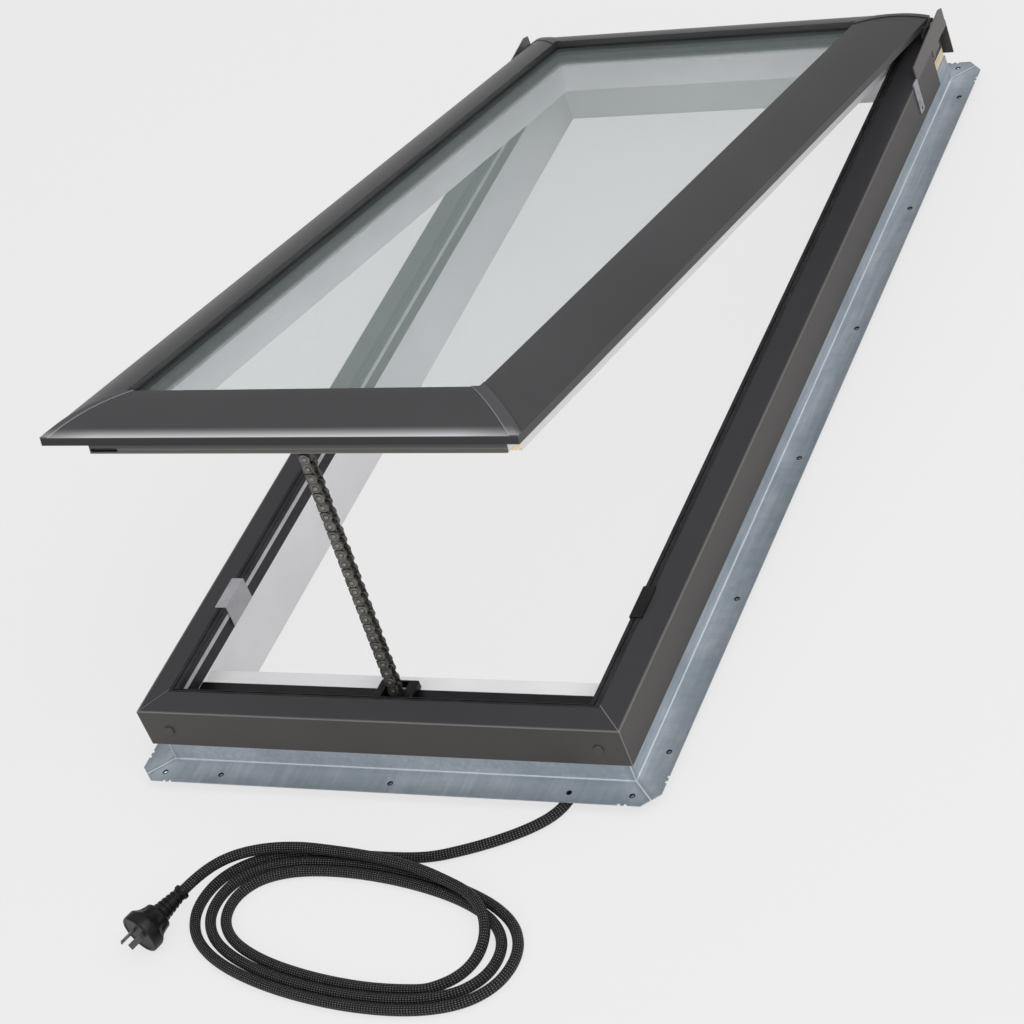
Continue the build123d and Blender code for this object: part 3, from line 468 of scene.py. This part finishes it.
def chain_finish():
    """Oiled steel with painted shade: darker away from the joints, and at each joint a lighter
    rivet head inside a dark ring of painted shade. A point's run along the chain tells how far
    the nearest joint is."""
    rivet_edge, rivet_fade = 0.0016, 0.0024
    ring_radius, ring_width = 0.0030, 0.0014
    darker_from, darker_to = 0.0044, 0.0056
    f = Finish("oiled_chain_steel")
    point = f.place()
    x, y, z = f.axes(point)
    run = (y - chain_foot[1]) * chain_up[1] + (z - chain_foot[2]) * chain_up[2] - first_joint
    from_joint = (run.nearest(chain_pitch) ** 2.0 + x ** 2.0) ** 0.5
    cloud = f.noise(point, scale=160.0, detail=4.0, rough=0.6)
    grit = f.noise(point, scale=1800.0, detail=3.0, rough=0.6)
    colour = f.blend(cloud.spread(0.35, 0.7), tone("#8b8882"), tone("#55524e"))
    away = from_joint.spread(darker_from, darker_to)
    ring = from_joint.line_at(ring_radius, ring_width)
    rivet = from_joint.spread(rivet_edge, rivet_fade, 1.0, 0.0)
    # Painted shade: darker away from the joints, and a dark ring round each rivet head
    colour = f.blend(away * 0.5, colour, tone("#24231f"))
    colour = f.blend(ring * 0.8, colour, tone("#141312"))
    colour = f.blend(rivet, colour, tone("#8e8b84"))
    rough = cloud * 0.16 + grit * 0.16 + 0.28
    normal = f.bump(grit, distance=0.00008, strength=0.5)
    return f.done(f.body(Base_Color=colour, Metallic=0.7, Roughness=rough, Normal=normal))


def tinted_glass():
    """Glass with a soft grey-green coating; it mirrors more at a glancing angle."""
    f = Finish("tinted_glass")
    point = f.place(in_sash=True)
    smear = f.noise(point, scale=6.0, detail=4.0, rough=0.6)
    clear = f.node("ShaderNodeBsdfTransparent", None, {"Color": (0.998, 0.994, 1.0, 1.0)})
    rough = smear.spread(0.4, 0.7, 0.04, 0.09)
    mirror = f.body(Base_Color=tone("#d2e3de"), Roughness=rough, Metallic=0.4, IOR=1.5)
    glance = f.node("ShaderNodeLayerWeight", None, {"Blend": 0.5}, "Facing") ** 5.0
    share = glance * 0.4 + smear.spread(0.45, 0.75) * 0.012 + 0.085
    return f.done(f.node("ShaderNodeMixShader", None, {0: share, 1: clear, 2: mirror}))


def braid():
    """Woven sleeve of the cord: strands crossing both ways, over and under in turn, each of
    fine threads, with painted highlights as light sparks where a strand stands highest."""
    f = Finish("woven_sleeve")
    u, v, _ = f.axes(f.node("ShaderNodeUVMap", {"uv_map": "UVMap"}))
    strands = 8.0
    threads = 5
    crossings_per_metre = 170.0
    left = u * strands + v * crossings_per_metre
    right = u * strands - v * crossings_per_metre
    wave_left = (left * 2 * pi).sine()
    wave_right = (right * 2 * pi).sine()
    over = (wave_left * wave_right).spread(-1.0, 1.0)
    fine = f.noise(f.place(), scale=2400.0, detail=3.0, rough=0.6)
    threads_left = (left * (2 * threads) * pi).sine() * 0.5 + 0.5
    threads_right = (right * (2 * threads) * pi).sine() * 0.5 + 0.5
    thread = threads_left * over + threads_right * (1 - over)
    height = over * 0.6 + thread * 0.3 + fine * 0.1
    colour = f.blend(thread.spread(0.5, 1.0), tone("#020202"), tone("#0b0b0c"))
    # Painted highlight: light sparks where a strand stands highest
    painted_glint = over.spread(0.74, 0.97) * fine.spread(0.35, 0.6)
    colour = f.blend(painted_glint * 0.85, colour, tone("#a9a9ad"))
    rough = 0.66 - thread * 0.2
    normal = f.bump(height, distance=0.0009, strength=0.9)
    surface = f.body(
        Base_Color=colour, Roughness=rough, Normal=normal, Specular_IOR_Level=0.3
    )
    return f.done(surface)


def floor_finish():
    """Pale paper: mostly its own brightness to the camera, and plain paper to the lamps and
    where the frame and its flange stand over it, so that the screw holes look dark."""
    covered_x, covered_y, corner_cut = 0.286, 0.597, 0.862
    lit_x, lit_y = 0.250, 0.560
    f = Finish("floor_paper")
    path = f.node("ShaderNodeLightPath")
    camera, glossy, through = [
        Socket(f, path.output.node.outputs[name])
        for name in ("Is Camera Ray", "Is Glossy Ray", "Is Transmission Ray")
    ]
    paper = f.node("ShaderNodeBsdfDiffuse", None, {"Color": tone("#efeeee")})
    glow = f.node("ShaderNodeEmission", None, {"Color": backdrop, "Strength": 1.0})
    x, y, _ = f.axes(f.place())
    corners = (abs(x) + abs(y)).under(corner_cut)
    covered = abs(x).under(covered_x) * abs(y).under(covered_y) * corners
    opening = abs(x).under(lit_x) * abs(y).under(lit_y)
    share = camera.most(through).most(glossy * 0.45) * 0.85 * (1 - covered * (1 - opening))
    return f.done(f.node("ShaderNodeMixShader", None, {0: share, 1: paper, 2: glow}))


def mesh_piece(name, shells, material, body=None, sharp=radians(40)):
    """One object from shells of points and faces, at the origin, smooth but for sharp edges."""
    points = []
    faces = []
    shift = 0
    for shell_points, shell_faces in shells:
        points.append(shell_points)
        faces += [[corner + shift for corner in face] for face in shell_faces]
        shift += len(shell_points)
    mesh = bpy.data.meshes.new(name)
    mesh.from_pydata(np.concatenate(points).tolist(), [], faces)
    mesh.validate()
    mesh.shade_smooth()
    mesh.set_sharp_from_angle(angle=sharp)
    mesh.materials.append(material)
    piece = bpy.data.objects.new(name, mesh)
    bpy.context.collection.objects.link(piece)
    if body:
        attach(piece, body)
    return piece


def grid_faces(rows, columns):
    """Four-sided faces between rows of points whose last column meets the first."""
    row, column = np.meshgrid(np.arange(rows - 1), np.arange(columns), indexing="ij")
    here = row * columns + column
    beside = row * columns + (column + 1) % columns
    return np.stack([here, beside, beside + columns, here + columns], -1).reshape(-1, 4)


def ringed(rings):
    """A closed shell from rings of points, with a flat face over the first and the last."""
    rows, columns = rings.shape[:2]
    faces = grid_faces(rows, columns).tolist()
    faces.append(list(range(columns))[::-1])
    faces.append(list(range((rows - 1) * columns, rows * columns)))
    return rings.reshape(-1, 3), faces


def turned(profile, origin, along, around=32, swell=None):
    """Radius as a function of length, turned about a line; swell changes it with the angle."""
    along = np.array(along, float) / np.linalg.norm(along)
    side = np.cross(along, (0.0, 0.0, 1.0) if abs(along[2]) < 0.9 else (1.0, 0.0, 0.0))
    side /= np.linalg.norm(side)
    up = np.cross(side, along)
    profile = np.array(profile, float)
    angle = np.linspace(0, 2 * pi, around, endpoint=False)
    radius = profile[:, 1:2] * np.ones((1, around))
    if swell is not None:
        radius = radius * swell(profile[:, 0:1], angle[None, :])
    ring = np.cos(angle)[None, :, None] * side + np.sin(angle)[None, :, None] * up
    rings = np.array(origin) + profile[:, 0, None, None] * along + radius[..., None] * ring
    return ringed(rings[:, ::-1])


# Cord: the lead keeps the part's points, and the end keeps its line near the plug but lies
# over the coil's turns, where the part has one flat ring. The coil is worked out between them.
lead_route = (
    (0.1990, -0.5860, 0.0064),
    (0.1990, -0.6000, 0.0064),
    (0.1946, -0.6154, 0.0062),
    (0.1843, -0.6301, 0.0059),
    (0.1659, -0.6455, 0.0058),
    (0.1402, -0.6610, 0.0057),
    (0.1094, -0.6754, 0.0057),
    (0.0756, -0.6877, 0.0057),
)
end_route = (
    (0.1480, -0.8460, 0.0056),
    (0.1685, -0.8310, 0.0056),
    (0.1795, -0.8110, 0.0068),
    (0.1815, -0.7890, 0.0104),
    (0.1755, -0.7680, 0.0151),
    (0.1620, -0.7500, 0.0174),
    (0.1420, -0.7350, 0.0174),
    (0.1140, -0.7235, 0.0174),
    (0.0840, -0.7125, 0.0174),
    (0.0480, -0.7040, 0.0174),
    (0.0100, -0.6985, 0.0174),
    (-0.0240, -0.6955, 0.0172),
    (-0.0620, -0.6930, 0.0170),
    (-0.1020, -0.6980, 0.0172),
    (-0.1340, -0.7140, 0.0195),
    (-0.1535, -0.7405, 0.0220),
    (-0.1620, -0.7640, 0.0220),
)
coil_turns = 2.60
coil_start = 0.02
points_in_turn = 18
coil_half_length = 0.2055
coil_half_width = 0.0930
length_lost_in_turn = 0.0186
width_lost_in_turn = 0.0117
coil_squareness = 0.050
coil_lean = radians(-9)
coil_centre = (0.0395, -0.7858)
coil_drift = 0.0004
floor_gap = 0.0001


def coil_route():
    """An oval that shrinks turn by turn and leans: x is a cos t less a little a cos 3t, and
    y is b sin t."""
    count = int(round(coil_turns * points_in_turn))
    turn = np.linspace(coil_start, coil_turns, count)
    angle = pi / 2 + 2 * pi * turn
    half_length = coil_half_length - length_lost_in_turn * turn
    half_width = coil_half_width - width_lost_in_turn * turn
    x = half_length * (np.cos(angle) - coil_squareness * np.cos(3 * angle))
    y = half_width * np.sin(angle)
    middle_x, middle_y = coil_centre
    across = middle_x + x * cos(coil_lean) - y * sin(coil_lean)
    along = middle_y + coil_drift * turn + x * sin(coil_lean) + y * cos(coil_lean)
    height = np.full(count, cord_diameter / 2 + floor_gap)
    return np.stack([across, along, height], -1)


def spline_points(route):
    """The points of a smooth line that follows a route, read from a curve with no thickness."""
    data = bpy.data.curves.new("cord_line", "CURVE")
    data.dimensions = "3D"
    spline = data.splines.new("NURBS")
    spline.points.add(len(route) - 1)
    spline.points.foreach_set("co", np.column_stack([route, np.ones(len(route))]).ravel())
    spline.order_u = 3
    spline.use_endpoint_u = True
    spline.resolution_u = 10
    carrier = bpy.data.objects.new("cord_line", data)
    mesh = bpy.data.meshes.new_from_object(carrier)
    points = np.zeros(3 * len(mesh.vertices))
    mesh.vertices.foreach_get("co", points)
    bpy.data.meshes.remove(mesh)
    bpy.data.objects.remove(carrier)
    bpy.data.curves.remove(data)
    return points.reshape(-1, 3)


def tube(name, line, radius, material, around=20):
    """Circles of a given radius carried square to a line, with a map of angle and length."""
    step = np.gradient(line, axis=0)
    step /= np.linalg.norm(step, axis=1)[:, None]
    side = np.cross(step, (0.0, 0.0, 1.0))
    side /= np.linalg.norm(side, axis=1)[:, None]
    up = np.cross(side, step)
    angle = np.linspace(0, 2 * pi, around + 1)
    radius = np.broadcast_to(radius, len(line))
    sideways = np.cos(angle)[None, :, None] * side[:, None]
    upwards = np.sin(angle)[None, :, None] * up[:, None]
    circle = sideways + upwards
    rings = line[:, None] + radius[:, None, None] * circle
    run = np.concatenate([[0], np.cumsum(np.linalg.norm(np.diff(line, axis=0), axis=1))])
    rows = len(line)
    shared = rings[:, :-1].reshape(-1, 3)
    faces = grid_faces(rows, around)[:, ::-1]
    caps = [list(range(around)), list(range((rows - 1) * around, rows * around))[::-1]]
    piece = mesh_piece(name, [(shared, faces.tolist() + caps)], material, "frame")
    mesh = piece.data
    row, column = np.meshgrid(np.arange(rows - 1), np.arange(around), indexing="ij")
    u = np.stack([column, column + 1, column + 1, column], -1)[..., ::-1] / around
    v = np.stack([run[row], run[row], run[row + 1], run[row + 1]], -1)[..., ::-1]
    quads = np.stack([u, v], -1).reshape(-1, 2)
    ends = np.zeros((2 * around, 2))
    layer = mesh.uv_layers.new(name="UVMap")
    layer.data.foreach_set("uv", np.concatenate([quads, ends]).ravel())
    return piece, run[-1]


# Plug: a line from the end of the cord, as in the part
plug_start = np.array([-0.162, -0.764, 0.022])
plug_heading = np.array([-0.3401, -0.9404, 0.0])


def cord_relief(line, material):
    """Radius falls evenly along the first stretch of the cord, with shallow rings cut in."""
    behind_exit = 0.007
    past_exit = 0.0185
    thick_radius = 0.0063
    taper = 0.0006
    rings = 7
    ring_depth = 0.00025
    start = line[0] + (0.0, behind_exit, 0.0)
    run = np.linalg.norm(line - line[0], axis=1)
    inner = line[run < past_exit]
    path = np.concatenate([np.linspace(start, line[0], 12)[:-1], inner])
    share = np.linspace(0, 1, len(path))
    cut = np.sin(share * 2 * rings * pi) > 0
    radius = thick_radius - taper * share - ring_depth * cut
    piece, _ = tube("cord_relief", path, radius, material)
    return piece


def plug_relief(material):
    """Radius grows along the plug, with five rings cut in and a collar at the thin end."""
    smooth_profile = (
        (0.0, 0.0074), (0.0006, 0.0082), (0.0036, 0.0082), (0.0044, 0.0070),
        (0.0330, 0.0105), (0.0360, 0.0142),
    )
    ring_spacing = 0.0052
    ring_depth = 0.0011
    first_ring, last_ring = 0.0062, 0.0322
    length = np.linspace(0.0, 0.036, 120)
    radius = np.interp(length, *np.transpose(smooth_profile))
    rings = np.clip(np.sin(2 * pi * (length - first_ring) / ring_spacing) * 2, 0, 1)
    rings *= (length > first_ring) & (length < last_ring)
    profile = np.column_stack([length, radius - ring_depth * rings])
    return mesh_piece(
        "plug_sleeve", [turned(profile, plug_start, plug_heading, around=40)], material, "frame"
    )


def plug_shell(material):
    """A round body with finger hollows behind its rim: the radius waves with the angle there."""
    profile = (
        (0.0345, 0.0120), (0.0350, 0.0140), (0.0360, 0.0148), (0.0378, 0.0150),
        (0.0390, 0.0152), (0.0410, 0.0157), (0.0430, 0.0163), (0.0450, 0.0170),
        (0.0470, 0.0180), (0.0490, 0.0194), (0.0505, 0.0207), (0.0515, 0.0215),
        (0.0525, 0.0219), (0.0540, 0.0220), (0.0590, 0.0220), (0.0622, 0.0220),
        (0.0632, 0.0217), (0.0638, 0.0211), (0.0640, 0.0203), (0.0640, 0.0186),
        (0.0634, 0.0182), (0.0634, 0.0100), (0.0634, 0.0020),
    )
    hollow_middle = 0.0455
    hollow_reach = 0.006
    hollow_count = 10
    hollow_share = 0.075

    def hollows(length, angle):
        """The share of the radius that is left, deepest at the middle of each hollow."""
        depth = np.exp(-(((length - hollow_middle) / hollow_reach) ** 2))
        return 1 - hollow_share * depth * (0.5 + 0.5 * np.cos(hollow_count * angle))

    shell = turned(profile, plug_start, plug_heading, around=80, swell=hollows)
    return mesh_piece("plug_shell", [shell], material, "frame")


# Chain: the line from the mouth up to the bracket's pin, as in the part
chain_foot = np.array([0.0, -0.530, 0.064])
chain_top = np.array([0.0, -0.50235, 0.37401])
chain_pitch = 0.0115
chain_links = 26
link_sheet = 0.0015
inner_width = 0.0064
outer_width = inner_width + 2 * link_sheet + 0.0005
bush_radius = 0.0031
end_block_reach = 0.010
chain_length = float(np.linalg.norm(chain_top - chain_foot))
chain_up = (chain_top - chain_foot) / chain_length
chain_pins = np.cross((1.0, 0.0, 0.0), chain_up)
first_joint = chain_length - end_block_reach - chain_links * chain_pitch


def joint_place(number):
    """The middle of a joint, counted from the lowest, each a pitch above the one before."""
    return chain_foot + chain_up * (first_joint + number * chain_pitch)


def plate_outline():
    """Round ends on the right, and on the left a straight stop with a nick at its middle. It
    is drawn the other way round and turned over: x changes sign and the order is reversed."""
    end, stop, corner = 0.00525, 0.0065, 0.0008
    nick_depth, nick_mouth, nick_floor = 0.0009, 0.0022, 0.0012
    top = np.radians(np.linspace(90, 212, 8))
    foot = np.radians(np.linspace(148, 270, 8))
    middle = chain_pitch / 2
    stop_side = [
        (stop - corner, -end), (stop, corner - end), (stop, middle - nick_mouth),
        (stop - nick_depth, middle - nick_floor), (stop - nick_depth, middle + nick_floor),
        (stop, middle + nick_mouth), (stop, chain_pitch + end - corner),
        (stop - corner, chain_pitch + end),
    ]
    upper_end = np.column_stack([end * np.cos(top), chain_pitch + end * np.sin(top)])
    lower_end = np.column_stack([end * np.cos(foot), end * np.sin(foot)])
    return np.concatenate([stop_side, upper_end, lower_end])[::-1] * (-1, 1)


def plate(number, offset, ease=0.0003):
    """The outline carried through the sheet's thickness, its edges eased inwards."""
    outline = plate_outline()
    step = np.roll(outline, -1, axis=0) - np.roll(outline, 1, axis=0)
    inward = np.column_stack([-step[:, 1], step[:, 0]])
    inward /= np.linalg.norm(inward, axis=1)[:, None]
    rings = []
    for inset, depth in ((ease, 0), (0, ease), (0, link_sheet - ease), (ease, link_sheet)):
        flat = outline + inset * inward
        rings.append(
            joint_place(number) + flat[:, :1] * (1.0, 0.0, 0.0) + flat[:, 1:] * chain_up
            + (offset + depth) * chain_pins
        )
    return ringed(np.array(rings))


def chain_piece(name, first, gap, heads, material):
    """Every second link: two plates, and at each joint a bush, or a domed head on each plate."""
    dome = [(0, 0.0025), (0.0005, 0.0025), (0.0009, 0.0020), (0.0011, 0.0010)]
    bush = [(-gap / 2, bush_radius), (gap / 2, bush_radius)]
    head_foot = gap / 2 + link_sheet - 0.0001
    shells = []
    for number in range(first, chain_links, 2):
        shells += [plate(number, gap / 2), plate(number, -gap / 2 - link_sheet)]
        for joint in (number, number + 1):
            if heads:
                for sign in (-1, 1):
                    foot = joint_place(joint) + sign * head_foot * chain_pins
                    shells.append(turned(dome, foot, sign * chain_pins, around=12))
            else:
                shells.append(turned(bush, joint_place(joint), chain_pins, around=14))
    return mesh_piece(name, shells, material, "frame", radians(35))


def end_block(material):
    """A block between the last joint and a barrel on the bracket's pin."""
    half_width, half_depth, overlap = 0.0052, 0.0032, 0.004
    corners = np.array([(-1, -1), (1, -1), (1, 1), (-1, 1)]) * (half_width, half_depth)
    rings = [
        place + corners[:, :1] * (1.0, 0.0, 0.0) + corners[:, 1:] * chain_pins
        for place in (joint_place(chain_links) - overlap * chain_up, chain_top)
    ]
    block = ringed(np.array(rings))
    profile = [(-0.0070, 0.0030), (-0.0066, 0.0040), (0.0066, 0.0040), (0.0070, 0.0030)]
    barrel = turned(profile, chain_top, (1.0, 0.0, 0.0), around=20)
    return mesh_piece("chain_end", [block, barrel], material, "frame")


def place_lamps():
    """A large soft lamp high on the right, and a weaker one low in front."""
    lamps = (
        ("key_lamp", (2.0, -1.2, 3.2), (0.0, 0.0, 0.1), 2.4, 60.0),
        ("front_lamp", (0.8, -3.4, 0.9), (0.0, -0.4, 0.1), 1.8, 22.0),
    )
    for name, place, aim, size, power in lamps:
        data = bpy.data.lights.new(name, "AREA")
        data.shape = "SQUARE"
        data.size = size
        data.energy = power
        lamp = bpy.data.objects.new(name, data)
        lamp.location = place
        lamp.rotation_euler = (Vector(aim) - Vector(place)).to_track_quat("-Z", "Y").to_euler()
        bpy.context.collection.objects.link(lamp)


def pale_world():
    """The background's own pale colour to the camera, and to the part a room that is
    brightest overhead, darker at the horizon and darkest low down on its left."""
    f = Finish("pale_room", world=True)
    x, y, z = f.axes(f.node("ShaderNodeTexCoord", out="Generated"))
    path = f.node("ShaderNodeLightPath")
    camera = Socket(f, path.output.node.outputs["Is Camera Ray"])
    overhead = z.spread(0.0, 0.95)
    leftwards = x.spread(-0.9, 0.1, 1.0, 0.0) * z.spread(0.25, 0.7, 1.0, 0.0)
    level = 0.5 + overhead * 0.5 - leftwards * 0.3
    room = f.node("ShaderNodeBackground", None, {"Color": tone("#e9eaec"), "Strength": level})
    seen = f.node("ShaderNodeBackground", None, {"Color": backdrop})
    mixed = f.node("ShaderNodeMixShader", None, {0: camera, 1: room, 2: seen})
    bpy.context.scene.world = f.done(mixed)


def pale_floor():
    """A level sheet just under the part, large enough to run past every view."""
    reach = 9.0
    drop = 0.0005
    corners = np.array([(-1, -1, 0), (1, -1, 0), (1, 1, 0), (-1, 1, 0)]) * reach
    corners = corners - (0.0, 0.0, drop)
    floor = mesh_piece("floor", [(corners, [[0, 1, 2, 3]])], floor_finish())


def dress(material, *names):
    """Gives CAD nodes a finish through their objects' own material slots."""
    for name in names:
        node = nodes[name]
        if not node.material_slots:
            node.data.materials.append(None)
        for entry in node.material_slots:
            entry.link = "OBJECT"
            entry.material = material


def sides(pattern, *names):
    """The names of nodes that differ only in one part of the name."""
    return [pattern.format(name) for name in names]


place_camera()
pale_world()
place_lamps()
bpy.context.scene.view_settings.view_transform = "Standard"

rubber = moulded(
    "black_rubber", tone("#19191b"), tone("#2d2d2f"), rough_at=0.5, grain_scale=900.0
)
plastic = moulded("black_plastic", tone("#030303"), tone("#0a0a0b"), rough_at=0.38)
chain_steel = chain_finish()

cord_line = spline_points(np.concatenate([lead_route, coil_route(), end_route]))
cord, cord_length = tube("supply_cord", cord_line, cord_diameter / 2, braid())
relief = cord_relief(cord_line, plastic)
sleeve = plug_relief(plastic)
shell = plug_shell(plastic)
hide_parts("cord", "cord_end", "cord_coil")
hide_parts("cord_gland")
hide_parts("plug_relief")
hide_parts("plug_body")

for piece, node in (
    (chain_piece("chain_inner", 0, inner_width, False, chain_steel), "chain_inner_links"),
    (chain_piece("chain_outer", 1, outer_width, True, chain_steel), "chain_outer_links"),
    (end_block(chain_steel), "chain_end_block"),
):
    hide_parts(node)
    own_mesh(piece)

dress(wood("jamb_lacquer", outside_of_jamb), "jamb_left", "jamb_right")
dress(wood("cross_timber_lacquer", outer_end, along_x), "sill_timber", "head_timber")
dress(
    wood("stile_lacquer", stile_notch, in_sash=True, dark_mask=stile_end),
    "sash_stile_left", "sash_stile_right",
)
dress(
    wood("rail_lacquer", along=along_x, in_sash=True),
    "sash_rail_front", "sash_rail_rear",
)
dress(
    lacquer("frame_lacquer", tone("#423f3d"), tone("#4a4745"), marks=frame_marks),
    *sides("frame_cover_{}", "front", "left", "right", "rear"),
    "cover_screws",
)
dress(
    lacquer("hinge_plate_lacquer", tone("#5c5855"), tone("#66625f")),
    "hinge_cover_left", "hinge_cover_right",
)
dress(
    lacquer("sash_lacquer", *sash_grey, in_sash=True),
    *sides("sash_cover_{}", "left", "right", "rear"),
)
dress(
    lacquer("sash_corner_lacquer", *sash_grey, in_sash=True, marks=corner_marks),
    *sides("sash_corner_{}", "front_right", "right_rear", "rear_left", "left_front"),
)
dress(
    lacquer("sash_nose_lacquer", *sash_grey, in_sash=True, marks=nose_marks),
    "sash_cover_front",
)
dress(
    lacquer("strip_lacquer", tone("#5f5e5b"), tone("#6a6965"), in_sash=True, marks=strip_marks),
    "sash_front_strip",
)
dress(galvanised_sheet(), *sides("flange_{}", "front", "left", "right", "rear"))
dress(
    rubber, "liner_seal_left", "liner_seal_right", "frame_gasket", "glass_spacer",
    "glazing_seal",
)
dress(
    moulded("light_strip", tone("#b4b4b6"), tone("#cfcfd1"), rough_at=0.35),
    "liner_strip_left", "liner_strip_right",
)
dress(plastic, "operator_housing", "channel_cover", "chain_mouth", "sash_clip_right")
dress(moulded("grey_clip", tone("#a5a5a8"), tone("#b9b9bc"), rough_at=0.4), "sash_clip_left")
dress(
    plated_steel("zinc_plate", tone("#b9bcc0"), tone("#8f9499")),
    "hinge_pins", "sash_leaf_left", "sash_leaf_right", "side_strap",
)
dress(
    plated_steel("dull_brass", tone("#6f6e6c"), tone("#3c3b3a"), rough_at=0.4, metal=0.8),
    "plug_blades",
)
dress(
    plated_steel("dark_bracket", tone("#2e2d2c"), tone("#1d1c1b"), rough_at=0.45, metal=0.5),
    "hinge_leaf_left", "hinge_leaf_right", "chain_bracket",
)
dress(tinted_glass(), "glass_inner", "glass_outer")

pale_floor()
